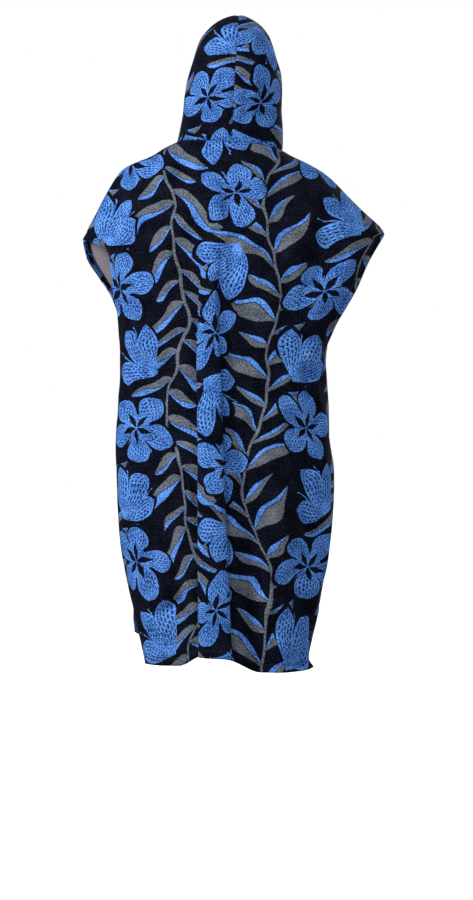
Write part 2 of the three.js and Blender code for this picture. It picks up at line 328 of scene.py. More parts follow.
def at(table, column, z, key="z"):
    """One column of a table at height z (a number or an array), as a smooth curve with no overshoot."""
    places = -np.array([row[key] for row in table], float)
    values = np.array([row[column] for row in table], float)
    spans = np.diff(places)
    slopes = np.diff(values) / spans
    tangents = np.zeros_like(values)
    tangents[0], tangents[-1] = slopes[0], slopes[-1]
    product = slopes[:-1] * slopes[1:]
    total = np.where(product > 0, slopes[:-1] + slopes[1:], 1.0)
    tangents[1:-1] = np.where(product > 0, 2 * product / total, 0.0)
    here = np.clip(-np.asarray(z, float), places[0], places[-1])
    row = np.clip(np.searchsorted(places, here, side="right") - 1, 0, len(spans) - 1)
    t = (here - places[row]) / spans[row]
    rest = 1 - t
    return (
        values[row] * rest**2 * (1 + 2 * t)
        + values[row + 1] * t**2 * (3 - 2 * t)
        + tangents[row] * spans[row] * t * rest**2
        - tangents[row + 1] * spans[row] * t**2 * rest
    )


def lengths(points):
    """The lengths along a line of points, from its first point."""
    return np.concatenate([[0.0], np.cumsum(np.linalg.norm(np.diff(points, axis=0), axis=1))])


def points_at(points, measures, wanted):
    """Points of a line at the wanted measures along it."""
    return np.stack([np.interp(wanted, measures, column) for column in points.T], axis=1)


def panel_end(panel, hand, z):
    """Where a panel ends at height z: on the shoulder seam, the cuff, the side seam or the vent."""
    cuff = CUFFS[hand]
    if cuff["underarm"] < z < cuff["tip"]:
        half = (cuff["tip"] - cuff["underarm"]) / 2
        across = (z - cuff["underarm"]) / half - 1
        return float(at(cuff["edge"], panel, z)), CUFF_OPEN * math.sqrt(1 - across**2)
    if z < VENT_TOP:
        open_share = (VENT_TOP - z) / (VENT_TOP - HEM)
        return float(at(VENTS[hand], panel, z)), VENT_OPEN * open_share
    return float(at(SECTIONS, hand, z)), 0.0


def is_open(hand, z):
    """Whether the panels stand apart at height z, at a cuff or a vent."""
    cuff = CUFFS[hand]
    return cuff["underarm"] < z < cuff["tip"] or z < VENT_TOP


def plain_quarter(panel, hand, z):
    """A quarter of a section, from the panel's end on one hand to its middle, with no folds."""
    power = float(at(SECTIONS, "power", z))
    depth = float(at(SECTIONS, panel, z))
    end_x, end_y = panel_end(panel, hand, z)
    first = math.asin((end_y / depth) ** (power / 2))
    width = end_x / math.cos(first) ** (2 / power)
    angle = np.linspace(first, math.pi / 2, FINE + 1)
    x = TOWARDS[hand] * width * np.maximum(np.cos(angle), 0) ** (2 / power)
    y = OUTWARD[panel] * depth * np.sin(angle) ** (2 / power)
    return np.stack([x, y, np.full_like(x, z)], axis=1)


def neck_lift(x, forward, z):
    """How far a point near the neckline is moved up. forward is 1 at the very front."""
    tilt = NECK_RISE + NECK_TILT * x / NECK_TILT_WIDTH
    tilt_left = np.maximum(0, 1 - np.abs(z) / NECK_TILT_FADE) ** 2
    dip_left = np.maximum(0, 1 - np.abs(z) / NECK_DIP_FADE) ** 2
    return tilt * tilt_left - NECK_DIP * forward**2 * dip_left


def hem_lift(panel, middle, z):
    """How far a point near the hem is drawn up."""
    near = max(0.0, 1 - (z - HEM) / HEM_LIFT_FADE)
    return at(HEM_LIFT[panel], "lift", middle, "middle") * near**2


def unit(vectors):
    return vectors / np.maximum(np.linalg.norm(vectors, axis=-1, keepdims=True), 1e-9)


def section(panel, z, columns):
    """One level section of a panel with its folds, from the left end to the right end. Gives its
    points, their distances round from the middle, and their lengths from the print's middle line."""
    left, right = plain_quarter(panel, "left", z), plain_quarter(panel, "right", z)
    plain = np.concatenate([left, right[::-1][1:]])
    along = lengths(plain)
    middle = along[FINE] - along
    leftward = unit(-np.gradient(plain[:, :2], axis=0))
    outward = np.stack([-leftward[:, 1], leftward[:, 0]], axis=1) * OUTWARD[panel]
    moved = plain.copy()
    weight = np.ones(len(plain))
    for fold in FOLDS:
        if fold["panel"] != panel or z >= fold["rows"][0]["z"]:
            continue
        reach = float(at(fold["rows"], "half", z))
        height = float(at(fold["rows"], "height", z))
        t = (middle - float(at(fold["rows"], "middle", z))) / reach
        within = np.abs(t) < 1
        bump = np.where(within, (1 + np.cos(math.pi * t)) / 2, 0)
        aside = fold["bulge"] * min(1.0, abs(height) / reach) * reach * np.sin(math.pi * t) * bump
        moved[:, :2] += outward * (height * bump)[:, None] + leftward * aside[:, None]
        if fold["bulge"] > 0:
            weight[within] = FOLD_WEIGHT
    depth = float(at(SECTIONS, panel, z))
    forward = np.maximum(0, -plain[:, 1] / depth)
    moved[:, 2] += neck_lift(plain[:, 0], forward, z) + hem_lift(panel, middle, z)
    real = lengths(moved)
    measures = np.concatenate([[0.0], np.cumsum(np.diff(real) * weight[1:])])
    wanted = np.linspace(0, measures[-1], columns)
    crest = float(at(PRINT_FOLD[panel]["rows"], "middle", z))
    crest_length = np.interp(-crest, -middle, real)
    return (
        points_at(moved, measures, wanted),
        np.interp(wanted, measures, middle),
        crest_length - np.interp(wanted, measures, real),
    )


def body_heights():
    """Heights of the sections, evenly spaced along the cloth, with one at each end of an opening."""
    z = np.linspace(0, HEM, 4000)
    side = (at(SECTIONS, "left", z) + at(SECTIONS, "right", z)) / 2
    along = np.concatenate([[0.0], np.cumsum(np.hypot(np.diff(z), 0.7 * np.diff(side)))])
    heights = np.interp(np.linspace(0, along[-1], BODY_ROWS), along, z)
    for hand in CUFFS:
        for corner in (CUFFS[hand]["tip"], CUFFS[hand]["underarm"], VENT_TOP):
            heights[np.argmin(np.abs(heights - corner))] = corner
    return heights


def grid_normals(grid, outward):
    """The direction out of the cloth at each point of a grid."""
    down = np.gradient(grid, axis=0)
    across = np.gradient(grid, axis=1)
    return unit(np.cross(down, across) * outward)


def fold_calm(panel, middle, height):
    """0 on a fold that bulges, where the cloth has no creases of its own, and 1 clear of it."""
    calm = np.ones_like(middle)
    for fold in FOLDS:
        if fold["panel"] == panel and fold["bulge"] > 0:
            t = (middle - at(fold["rows"], "middle", height)) / at(fold["rows"], "half", height)
            begun = np.clip((fold["rows"][0]["z"] - height) / 60 + 0.5, 0, 1)
            calm *= 1 - begun * np.clip((1.9 - np.abs(t)) / 0.7, 0, 1)
    return calm


def by_crease(crease, across, up):
    """How points lie by a crease: an arch from end to end, the distance off it, and its length."""
    start, end = np.array(crease["start"], float), np.array(crease["end"], float)
    run = end - start
    length = np.linalg.norm(run)
    share = ((across - start[0]) * run[0] + (up - start[1]) * run[1]) / (run @ run)
    off = ((across - start[0]) * run[1] - (up - start[1]) * run[0]) / length
    return np.sin(math.pi * np.clip(share, 0, 1)), off, length


def crease_height(panel, middle, height):
    """How far the creases and swells move each point of a panel out."""
    moved = np.zeros_like(middle)
    for crease in CREASES[panel]:
        arch, off, length = by_crease(crease, middle, height)
        bowed = off - CREASE_BOW * length * arch
        moved += crease["height"] * arch**CREASE_END * np.exp(-((bowed / crease["width"]) ** 2))
    for swell in SWELLS:
        phase = 2 * math.pi * (middle / swell["round"] + height / swell["down"]) + swell["turn"]
        moved += swell["height"] * np.sin(phase)
    return moved * fold_calm(panel, middle, height)


def distance_to(points, line):
    """The distance from each point to a line of points."""
    steps = lengths(line)
    dense = points_at(line, steps, np.arange(0, steps[-1], 1.5))
    tree = KDTree(len(dense))
    for i, place in enumerate(dense):
        tree.insert(place, i)
    tree.balance()
    flat = points.reshape(-1, 3)
    found = np.array([tree.find(place)[2] for place in flat])
    return found.reshape(points.shape[:2])


def linked(name, data):
    """A new object in the scene, with this mesh, camera or light."""
    thing = bpy.data.objects.new(name, data)
    bpy.context.collection.objects.link(thing)
    return thing


def shell_mesh(name, outer, inner, attributes, materials):
    """A closed wall between an outer and an inner grid of points in millimetres. attributes are
    grids by name, and the print's map is the pair print_u and print_v, in metres."""
    rows, columns = outer.shape[:2]
    count = rows * columns
    points = np.concatenate([outer.reshape(-1, 3), inner.reshape(-1, 3)]) * MM
    r, c = np.meshgrid(np.arange(rows - 1), np.arange(columns - 1), indexing="ij")
    first = (r * columns + c).ravel()
    outside = np.stack([first, first + columns, first + columns + 1, first + 1], axis=1)
    inside = outside[:, ::-1] + count
    ring = np.concatenate(
        [
            np.arange(columns - 1),
            np.arange(rows - 1) * columns + columns - 1,
            (rows - 1) * columns + np.arange(columns - 1, 0, -1),
            np.arange(rows - 1, 0, -1) * columns,
        ]
    )
    after = np.roll(ring, -1)
    rim = np.stack([ring, after, after + count, ring + count], axis=1)
    faces = np.concatenate([outside, inside, rim])
    corners = points[faces]
    diagonals = np.cross(corners[:, 2] - corners[:, 0], corners[:, 3] - corners[:, 1])
    if np.einsum("ij,ij->", corners.mean(axis=1), diagonals) < 0:
        faces = faces[:, ::-1]
    mesh = bpy.data.meshes.new(name)
    mesh.from_pydata(points.tolist(), [], faces.tolist())
    mesh.polygons.foreach_set("use_smooth", np.ones(len(faces), bool))
    slots = np.zeros(len(faces), np.int32)
    slots[len(outside) : len(outside) + len(inside)] = 1
    mesh.polygons.foreach_set("material_index", slots)
    for material in materials:
        mesh.materials.append(material)
    for key, grid in attributes.items():
        if key.startswith("print_"):
            continue
        layer = mesh.attributes.new(key, "FLOAT", "POINT")
        layer.data.foreach_set("value", np.tile(grid.ravel(), 2).astype(np.float32))
    pair = np.stack([attributes["print_u"].ravel(), attributes["print_v"].ravel()], axis=1)
    pair = np.tile(pair, (2, 1))
    layer = mesh.uv_layers.new(name="Cloth")
    layer.data.foreach_set("uv", pair[faces.ravel()].astype(np.float32).ravel())
    mesh.validate()
    mesh.update()
    return linked(name, mesh)


def soft_step(value, width):
    """0 well below zero, and 1 well above it."""
    return 1 / (1 + np.exp(-value / width))


def walls(outer, normals, edge, seam):
    """The outer and inner faces of the cloth, with turned hems, rolled edges and sunk seams."""
    rolled = EDGE_ROLL * np.exp(-((edge / EDGE_ROLL_WIDTH) ** 2))
    sink = SEAM_SINK * np.exp(-((seam / SEAM_WIDTH) ** 2)) + rolled
    stitch = STITCH_SINK * np.exp(-(((edge - TURNED_HEM + STITCH_SINK_WIDTH) / STITCH_SINK_WIDTH) ** 2))
    turned = 1 - soft_step(edge - TURNED_HEM, 0.8)
    allowance = SEAM_ALLOWANCE * np.exp(-((seam / SEAM_RIDGE_WIDTH) ** 2))
    wall = WALL + (TURNED_WALL - WALL) * turned + allowance
    face = outer - normals * (sink + stitch)[..., None]
    back = outer - normals * (wall - rolled - stitch)[..., None]
    return face, back


def path_at(grid, edge, borders, distance):
    """The points of a grid that lie at a distance from its open edge, found by going inward from
    each border point. Each gap in the line of border points starts a new path."""
    paths, last = [[]], None
    for row, column, down, across in borders:
        steps = np.arange(PATH_REACH)
        rows, columns = row % len(grid) + down * steps, column + across * steps
        held = (rows >= 0) & (rows < len(grid)) & (columns >= 0) & (columns < grid.shape[1])
        rows, columns = rows[held], columns[held]
        beyond = np.nonzero(edge[rows, columns] >= distance)[0]
        if len(beyond) and beyond[0] > 0:
            i = beyond[0]
            before, after = edge[rows[i - 1], columns[i - 1]], edge[rows[i], columns[i]]
            share = (distance - before) / (after - before)
            outward, inward = grid[rows[i - 1], columns[i - 1]], grid[rows[i], columns[i]]
            place = outward * (1 - share) + inward * share
            if last is not None and np.linalg.norm(place[:3] - last) > PATH_BREAK:
                paths.append([])
            paths[-1].append(place)
            last = place[:3]
    return [np.array(path) for path in paths if len(path) > 3]


def stitching(name, face, back, normals, edge, borders):
    """Two rows of stitches that hold the turned hem, on both sides of the cloth."""
    long, wide, high = STITCH["long"] / 2, STITCH["wide"] / 2, STITCH["high"]
    shape = [(-long, STITCH_END), (-long / 2, 1.0), (long / 2, 1.0), (long, STITCH_END)]
    points, faces = [], []
    for surface, way in ((face, 1.0), (back, -1.0)):
        grid = np.concatenate([surface, normals * way], axis=2)
        for distance in STITCH["rows"]:
            for path in path_at(grid, edge, borders, distance):
                along = lengths(path[:, :3])
                places = points_at(path, along, np.arange(STITCH["pitch"], along[-1], STITCH["pitch"]))
                ahead = unit(np.gradient(places[:, :3], axis=0))
                for place, forward in zip(places, ahead):
                    up = unit(place[3:])
                    side = np.cross(up, forward)
                    first = len(points)
                    for reach, full in shape:
                        centre = place[:3] + forward * reach
                        points.append(centre + side * wide * full - up * STITCH_FOOT)
                        points.append(centre + up * high * full)
                        points.append(centre - side * wide * full - up * STITCH_FOOT)
                    for ring in range(first, first + 9, 3):
                        for a, b in ((0, 1), (1, 2), (2, 0)):
                            faces.append((ring + a, ring + b, ring + b + 3, ring + a + 3))
                    faces += [(first + 2, first + 1, first), (first + 9, first + 10, first + 11)]
    mesh = bpy.data.meshes.new(name)
    mesh.from_pydata((np.array(points) * MM).tolist(), [], faces)
    mesh.materials.append(thread)
    mesh.update()
    return linked(name, mesh)


def softened(grid, rounds):
    """The grid with each row brought nearer to its neighbours, except the first and the last."""
    soft = grid.copy()
    for _ in range(rounds):
        soft[1:-1] = (soft[:-2] + 2 * soft[1:-1] + soft[2:]) / 4
    return soft


def body_panel(panel, columns, materials):
    """A panel of the body with its stitches, as a grid of level sections."""
    heights = body_heights()
    rows = [section(panel, z, columns) for z in heights]
    outer = np.stack([row[0] for row in rows])
    middle = np.stack([row[1] for row in rows])
    round_length = np.stack([row[2] for row in rows])
    level = np.repeat(heights[:, None], columns, axis=1)
    normals = grid_normals(outer, OUTWARD[panel])
    seam_lines = [outer[0]]
    edge_lines = [outer[-1]]
    for hand, column in (("left", 0), ("right", columns - 1)):
        cuff = CUFFS[hand]
        line = outer[:, column]
        shoulder = heights >= cuff["tip"]
        side = (heights <= cuff["underarm"]) & (heights >= VENT_TOP)
        cuff_rows = (heights <= cuff["tip"]) & (heights >= cuff["underarm"])
        seam_lines += [line[shoulder], line[side]]
        edge_lines += [line[cuff_rows], line[heights <= VENT_TOP]]
    seam = np.min([distance_to(outer, line) for line in seam_lines], axis=0)
    edge = np.min([distance_to(outer, line) for line in edge_lines], axis=0)
    fade = 1 - np.exp(-((np.minimum(seam, edge) / SOFTENING_FADE) ** 2))
    outer = outer + (softened(outer, SOFTENING) - outer) * fade[..., None]
    moved = crease_height(panel, middle, level) * fade
    outer = outer + normals * moved[..., None]
    normals = grid_normals(outer, OUTWARD[panel])
    for hand, column in (("left", 0), ("right", columns - 1)):
        closed = np.array([not is_open(hand, z) for z in heights])
        normals[closed, column, 1] = 0
    normals[0, :, 2] = 0
    normals = unit(normals)
    face, back = walls(outer, normals, edge, seam)
    for grid in (face, back):
        grid[..., 1] = OUTWARD[panel] * np.maximum(OUTWARD[panel] * grid[..., 1], -SEAM_LAP / 2)
        grid[0, :, 2] += SEAM_LAP / 2
    crest_column = np.argmin(np.abs(round_length), axis=1)
    crest = outer[np.arange(len(heights)), crest_column]
    down = lengths(crest[:, [1, 2]])
    attributes = {
        "edge": edge * MM,
        "seam": seam * MM,
        "print_u": softened(round_length, PRINT_SOFTENING) * MM,
        "print_v": np.repeat(down[:, None] + BODY_PRINT[panel], columns, axis=1) * MM,
    }
    borders = [(-1, column, -1, 0) for column in range(columns)]
    for hand, column, inward in (("left", 0, 1), ("right", columns - 1, -1)):
        open_rows = [row for row, z in enumerate(heights) if is_open(hand, z)]
        borders += [(row, column, 0, inward) for row in open_rows]
    stitches = stitching(f"{panel}_stitches", face, back, normals, edge, borders)
    return shell_mesh(f"{panel}_cloth", face, back, attributes, materials), stitches


def hood_reach(column, z):
    """How far the hood reaches on one side at height z, rounded off at the crown."""
    squares = [dict(z=row["z"], square=row[column] ** 2) for row in HOOD_SECTIONS]
    return np.sqrt(np.maximum(0, at(squares, "square", z)))


def hood_half_width(hand, y, z):
    """The distance of a hood half's cloth from the middle plane."""
    depth = np.maximum(1, np.where(y > 0, hood_reach("back", z), hood_reach("front", z)))
    share = np.minimum(1, np.abs(y) / depth)
    return hood_reach(hand, z) * (1 - share**HOOD_POWER) ** (1 / HOOD_POWER)


def hood_profile():
    """The middle seam of the hood, from the brow over the crown to the back of the neck."""
    crown = HOOD_SECTIONS[0]["z"]
    share = np.linspace(0, 1, FINE + 1)
    rising = crown - (crown - BROW) * (1 - share) ** 2
    falling = crown * (1 - share[1:] ** 2)
    z = np.concatenate([rising, falling])
    y = np.concatenate([-hood_reach("front", rising), hood_reach("back", falling)])
    return np.stack([np.zeros_like(z), y, z], axis=1)


def evenly(points, steps):
    """The line again, as points at even distances."""
    along = lengths(points)
    return points_at(points, along, np.linspace(0, along[-1], steps + 1))


def hood_rib(hand, top, foot, bow):
    """A line over the hood half, from a point of the middle seam down to the neckline."""
    share = (1 - np.cos(np.linspace(0, math.pi, FINE + 1))) / 2
    y = top[1] + (foot - top[1]) * share + bow * np.sin(math.pi * share)
    z = top[2] * (1 - share)
    side = hood_half_width(hand, y, z)
    side[0] = 0
    return evenly(np.stack([TOWARDS[hand] * side, y, z], axis=1), RIB_STEPS)


# The middle of each side of the hood, as its distance back and its height
HOOD_SIDE = (0.0, 110.0)
# Where that middle lies on the print
HOOD_PRINT = {"left": (290, 65), "right": (308, 140)}
# The hood's creases, from one distance from the middle plane and height to another
HOOD_CREASES = {
    "left": table("start end width height", [
        ((20, 14), (30, 120), 10, -3.0),
        ((48, 8), (58, 150), 12, -3.5),
        ((84, 6), (92, 110), 12, 3.0),
        ((14, 150), (60, 240), 14, -2.5),
    ]),
    "right": table("start end width height", [
        ((24, 8), (26, 140), 11, -3.5),
        ((60, 10), (52, 130), 12, -3.0),
        ((20, 150), (66, 220), 14, -2.5),
    ]),
}


def hood_flat(hand, places):
    """Where each point of a hood half lies on the flat cloth: its length and direction from the
    middle of the side, measured over the curve of the hood."""
    steps = np.sin(np.linspace(0, math.pi / 2, 40))
    across, up = places[..., 1] - HOOD_SIDE[0], places[..., 2] - HOOD_SIDE[1]
    y = HOOD_SIDE[0] + across * steps[:, None, None]
    z = HOOD_SIDE[1] + up * steps[:, None, None]
    route = np.stack([hood_half_width(hand, y, z), y, z], axis=-1)
    length = np.linalg.norm(np.diff(route, axis=0), axis=-1).sum(axis=0)
    stretch = length / np.maximum(np.hypot(across, up), 1e-6)
    return across * stretch, up * stretch


def seam_lean(grid):
    """How far the back of the hood is drawn aside, which fades towards the sides and the front."""
    lean = at(HOOD_LEAN, "aside", grid[..., 2])
    near_seam = np.clip(1 - np.abs(grid[..., 0]) / HOOD_LEAN_WIDTH, 0, 1)
    return lean * near_seam * soft_step(grid[..., 1], HOOD_LEAN_FADE)


def hood_half(hand, materials):
    """Half of the hood with its stitches, as a grid of ribs from the face back to the neck."""
    tops = evenly(hood_profile(), HOOD_RIBS)
    neck_front = SECTIONS[0]["front"]
    ribs = []
    for i, top in enumerate(tops):
        turn = math.pi / 2 * i / HOOD_RIBS
        foot = 0.0 if i == HOOD_RIBS else -neck_front * math.cos(turn) ** (2 / HOOD_POWER)
        ribs.append(hood_rib(hand, top, foot, FACE_BOW * math.cos(turn) ** 2))
    outer = np.stack(ribs)
    places = outer.copy()
    x, y, z = np.moveaxis(places, -1, 0)
    normals = grid_normals(outer, -TOWARDS[hand])
    edge = distance_to(outer, outer[0])
    seam_lines = (outer[:, 0], outer[:, -1], outer[-1])
    seam = np.min([distance_to(outer, line) for line in seam_lines], axis=0)
    creased = np.zeros_like(edge)
    behind = soft_step(y, 12)
    for crease in HOOD_CREASES[hand]:
        arch, off, _ = by_crease(crease, np.abs(x), z)
        ends = arch**CREASE_END
        creased += crease["height"] * ends * behind * np.exp(-((off / crease["width"]) ** 2))
    creased += 1.2 * np.sin(z / 17 + y / 23) * np.sin(y / 31 + 1)
    creased *= 1 - np.exp(-((np.minimum(seam, edge) / HOOD_CREASE_FADE) ** 2))
    outer = outer + normals * creased[..., None]
    normals = grid_normals(outer, -TOWARDS[hand])
    normals[:, 0, 0] = 0
    normals[:, -1, 2] = 0
    normals[-1, :, 2] = 0
    normals = unit(normals)
    face, back = walls(outer, normals, edge, seam)
    forward = np.maximum(0, -y / np.maximum(1, hood_reach("front", z)))
    lift = neck_lift(x, forward, z)
    for grid in (face, back):
        grid[..., 0] = TOWARDS[hand] * np.maximum(TOWARDS[hand] * grid[..., 0], -SEAM_LAP / 2)
        grid[..., 0] += seam_lean(grid)
        grid[..., 2] = grid[..., 2] * HOOD_STRETCH + lift
    backward, upward = hood_flat(hand, places)
    attributes = {
        "edge": edge * MM,
        "seam": seam * MM,
        "print_u": (HOOD_PRINT[hand][0] - TOWARDS[hand] * backward) * MM,
        "print_v": (HOOD_PRINT[hand][1] - upward) * MM,
    }
    borders = [(0, column, 1, 0) for column in range(RIB_STEPS + 1)]
    stitches = stitching(f"hood_{hand}_stitches", face, back, normals, edge, borders)
    return shell_mesh(f"hood_{hand}_cloth", face, back, attributes, materials), stitches


def make_camera():
    """Level with the middle of the photo, behind the garment."""
    distance, height, lens_height = 4.2, 1.8, 24.0
    data = bpy.data.cameras.new("camera")
    data.sensor_fit = "VERTICAL"
    data.sensor_height = lens_height
    data.lens = lens_height * distance / height
    camera = linked("camera", data)
    camera.location = (-0.003, distance, -0.6)
    camera.rotation_euler = (math.pi / 2, 0, math.pi)
    bpy.context.scene.camera = camera


def area_light(name, place, target, size, power):
    data = bpy.data.lights.new(name, "AREA")
    data.shape = "SQUARE"
    data.size = size
    data.energy = power
    lamp = linked(name, data)
    lamp.location = place
    way = np.array(target) - np.array(place)
    flat = math.hypot(way[0], way[1])
    lamp.rotation_euler = (math.atan2(flat, -way[2]), 0, math.atan2(way[1], way[0]) - math.pi / 2)


# Places in metres and powers in watts. The key light gives the folds their shade.
LIGHTS = table("name place target size power", [
    ("key", (3.2, 2.1, 1.2), (0, 0, -0.4), 0.7, 190),
    ("middle", (1.0, 4.4, 0.1), (0, 0, -0.5), 1.0, 54),
    ("fill", (-2.8, 3.0, 0.4), (0, 0, -0.5), 1.4, 52),
    ("front", (-2.4, -3.2, 1.6), (0, 0, -0.4), 1.4, 130),
])
# The strength of the white surroundings as a light. The camera sees them at full strength.
AMBIENT = 0.30


def make_stage():
    """A white ground below the garment, white surroundings and the lights."""
    world = bpy.data.worlds.new("world")
    bpy.context.scene.world = world
    world.use_nodes = True
    background = world.node_tree.nodes["Background"]
    background.inputs["Color"].default_value = (1, 1, 1, 1)
    seen = world.node_tree.nodes.new("ShaderNodeLightPath")
    level = world.node_tree.nodes.new("ShaderNodeMapRange")
    level.inputs["To Min"].default_value = AMBIENT
    level.inputs["To Max"].default_value = 1.0
    world.node_tree.links.new(seen.outputs["Is Camera Ray"], level.inputs["Value"])
    world.node_tree.links.new(level.outputs["Result"], background.inputs["Strength"])
    mesh = bpy.data.meshes.new("floor")
    far = 30.0
    ends = ((-far, -far), (far, -far), (far, far), (-far, far))
    corners = [(x, y, FLOOR * MM) for x, y in ends]
    mesh.from_pydata(corners, [], [(0, 1, 2, 3)])
    floor = linked("floor", mesh)
    material = bpy.data.materials.new("floor")
    material.use_nodes = True
    shader = material.node_tree.nodes["Principled BSDF"]
    shader.inputs["Base Color"].default_value = (0.86, 0.86, 0.86, 1)
    shader.inputs["Roughness"].default_value = 0.9
    shader.inputs["Emission Color"].default_value = (1, 1, 1, 1)
    shader.inputs["Emission Strength"].default_value = 1.0
    mesh.materials.append(material)
    floor.visible_diffuse = False
    floor.visible_glossy = False
    for light in LIGHTS:
        area_light(**light)
    settings = bpy.context.scene.view_settings
    settings.view_transform = "Standard"
    settings.look = "None"


class Nodes:
    """Short forms for the shader nodes of one material."""

    def __init__(self, name):
        self.material = bpy.data.materials.new(name)
        self.material.use_nodes = True
        self.tree = self.material.node_tree
        self.shader = self.tree.nodes["Principled BSDF"]

    def new(self, kind):
        return self.tree.nodes.new(kind)

    def put(self, socket, value):
        """Sets a socket to a number, or links another socket to it."""
        if isinstance(value, bpy.types.NodeSocket):
            self.tree.links.new(value, socket)
        else:
            socket.default_value = value

    def math(self, operation, *values, clamp=False):
        node = self.new("ShaderNodeMath")
        node.operation = operation
        node.use_clamp = clamp
        for socket, value in zip(node.inputs, values):
            self.put(socket, value)
        return node.outputs[0]

    def add(self, a, b):
        return self.math("ADD", a, b)

    def sub(self, a, b):
        return self.math("SUBTRACT", a, b)

    def mul(self, a, b):
        return self.math("MULTIPLY", a, b)

    def div(self, a, b):
        return self.math("DIVIDE", a, b)

    def mul_add(self, a, b, c):
        return self.math("MULTIPLY_ADD", a, b, c)

    def abs(self, a):
        return self.math("ABSOLUTE", a)

    def most(self, a, b):
        return self.math("MAXIMUM", a, b)

    def sin(self, a):
        return self.math("SINE", a)

    def wrap(self, a, half):
        return self.math("WRAP", a, half, -half)

    def inside(self, value, soft):
        """1 where value is below 0, and 0 above it, over a soft edge."""
        node = self.new("ShaderNodeMapRange")
        node.interpolation_type = "SMOOTHSTEP"
        self.put(node.inputs["Value"], value)
        node.inputs["From Min"].default_value = soft
        node.inputs["From Max"].default_value = -soft
        return node.outputs["Result"]

    def curve(self, value, points):
        node = self.new("ShaderNodeFloatCurve")
        self.put(node.inputs["Value"], value)
        line = node.mapping.curves[0]
        line.points[0].location = points[0]
        line.points[1].location = points[-1]
        for place in points[1:-1]:
            line.points.new(*place)
        node.mapping.update()
        return node.outputs["Value"]

    def split(self, vector):
        node = self.new("ShaderNodeSeparateXYZ")
        self.put(node.inputs[0], vector)
        return node.outputs[0], node.outputs[1]

    def join(self, x, y, z=0.0):
        node = self.new("ShaderNodeCombineXYZ")
        for socket, value in zip(node.inputs, (x, y, z)):
            self.put(socket, value)
        return node.outputs[0]

    def placed(self, vector, place, turn):
        """The vector seen from a place, turned by an angle."""
        node = self.new("ShaderNodeMapping")
        node.vector_type = "TEXTURE"
        self.put(node.inputs["Vector"], vector)
        node.inputs["Location"].default_value = (place[0], place[1], 0)
        node.inputs["Rotation"].default_value = (0, 0, turn)
        return node.outputs[0]

    def noise(self, vector, scale, detail=2.0, rough=0.5, color=False):
        node = self.new("ShaderNodeTexNoise")
        self.put(node.inputs["Vector"], vector)
        node.inputs["Scale"].default_value = scale
        node.inputs["Detail"].default_value = detail
        node.inputs["Roughness"].default_value = rough
        return node.outputs["Color" if color else "Fac"]

    def mix(self, factor, a, b):
        node = self.new("ShaderNodeMix")
        node.data_type = "RGBA"
        self.put(node.inputs["Factor"], factor)
        self.put(node.inputs["A"], a)
        self.put(node.inputs["B"], b)
        return node.outputs["Result"]

    def uv(self):
        node = self.new("ShaderNodeUVMap")
        node.uv_map = "Cloth"
        return node.outputs[0]

    def attribute(self, name):
        node = self.new("ShaderNodeAttribute")
        node.attribute_name = name
        return node.outputs["Fac"]

    def vector(self, operation, *values):
        node = self.new("ShaderNodeVectorMath")
        node.operation = operation
        for socket, value in zip(node.inputs, values):
            self.put(socket, value)
        return node.outputs["Value" if operation == "LENGTH" else "Vector"]

    def bump(self, height, strength, distance):
        node = self.new("ShaderNodeBump")
        node.inputs["Strength"].default_value = strength
        node.inputs["Distance"].default_value = distance
        self.put(node.inputs["Height"], height)
        return node.outputs["Normal"]


def colour(red, green, blue):
    """A colour given as it shows on a screen, 0 to 255."""
    shown = (red, green, blue)
    return tuple(((v / 255 + 0.055) / 1.055) ** 2.4 if v > 10 else v / 255 / 12.92 for v in shown) + (1,)


BLACK = colour(2, 3, 9)
BLACK_PILE = colour(25, 28, 43)
BLUE_DEEP = colour(8, 54, 128)
BLUE_LIGHT = colour(104, 160, 242)
GREY = colour(48, 53, 62)
GREY_LIGHT = colour(112, 118, 128)
LOOPS = colour(240, 235, 240)
LOOPS_DEEP = colour(208, 203, 212)

# The print, in metres, on a half-drop repeat
REPEAT_WIDTH = 0.42
REPEAT_HEIGHT = 0.54
# The width over which a printed edge fades
SOFT = 0.0007
# The length of a dash on a petal, and its form as a brick between gaps
STROKE = 0.0058
DASH = {
    "Scale": 1.0,
    "Brick Width": 1.7,
    "Row Height": 1.0,
    "Mortar Size": 0.34,
    "Mortar Smooth": 0.35,
    "Bias": 0.0,
}

# Half widths along a petal or a leaf, both as a share of its length
PETAL = [(0.0, 0.02), (0.14, 0.09), (0.36, 0.22), (0.62, 0.33), (0.82, 0.27), (0.95, 0.12), (1.0, 0.0)]
LONG_PETAL = [(0.0, 0.03), (0.30, 0.13), (0.52, 0.20), (0.74, 0.215), (0.90, 0.12), (1.0, 0.0)]
LEAF = [(0.0, 0.0), (0.10, 0.07), (0.36, 0.165), (0.62, 0.16), (0.84, 0.09), (0.96, 0.03), (1.0, 0.0)]

VINES = table("x sway turn slope leaf count seed", [
    (0.085, 0.024, 0.5, -0.62, 0.094, 11, 1.0),
    (0.295, 0.028, 2.6, 0.70, 0.098, 10, 3.0),
])
# Places are across and down the repeat. Blossoms seen from the front have five
# petals, and those seen from the side show three of nine.
BLOSSOMS = table("place size squash turn petals shown seed", [
    ((0.200, 0.218), 0.110, 1.0, -2.1, 9, 3, 0.4),
    ((0.172, 0.482), 0.104, 1.0, -0.7, 9, 3, 1.7),
    ((0.398, 0.040), 0.106, 1.0, 0.9, 9, 3, 5.2),
    ((0.392, 0.300), 0.110, 1.0, 2.4, 9, 3, 2.9),
    ((0.182, 0.085), 0.084, 0.90, 0.3, 5, 5, 1.0),
    ((0.408, 0.170), 0.080, 0.84, 1.1, 5, 5, 2.3),
    ((0.196, 0.348), 0.082, 0.88, 2.0, 5, 5, 3.1),
    ((0.384, 0.435), 0.078, 0.92, 0.7, 5, 5, 4.4),
])


